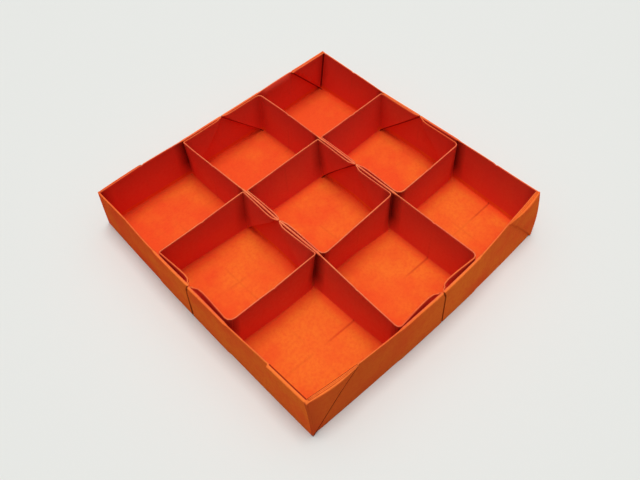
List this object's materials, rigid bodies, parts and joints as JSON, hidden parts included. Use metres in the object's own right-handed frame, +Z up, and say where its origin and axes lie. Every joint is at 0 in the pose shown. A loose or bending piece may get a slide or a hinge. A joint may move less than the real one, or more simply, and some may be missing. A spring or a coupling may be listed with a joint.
{
  "type": "origami box",
  "caption": "Shallow square divided tray folded from a single sheet of orange paper, with pleated partitions and double outer walls.",
  "frame": {"origin": "centre of the box's underside, on the surface that it stands on", "axes": "+Z up out of the open cells; +X along the wall whose outside carries two corner triangles; +Y away from it"},
  "size_m": [0.0568, 0.0574, 0.0098],
  "materials": {
    "paper": "matt uncoated paper, orange on both sides"
  },
  "bodies": {
    "root": {"folded_sheet": "paper"}
  },
  "joints": []
}
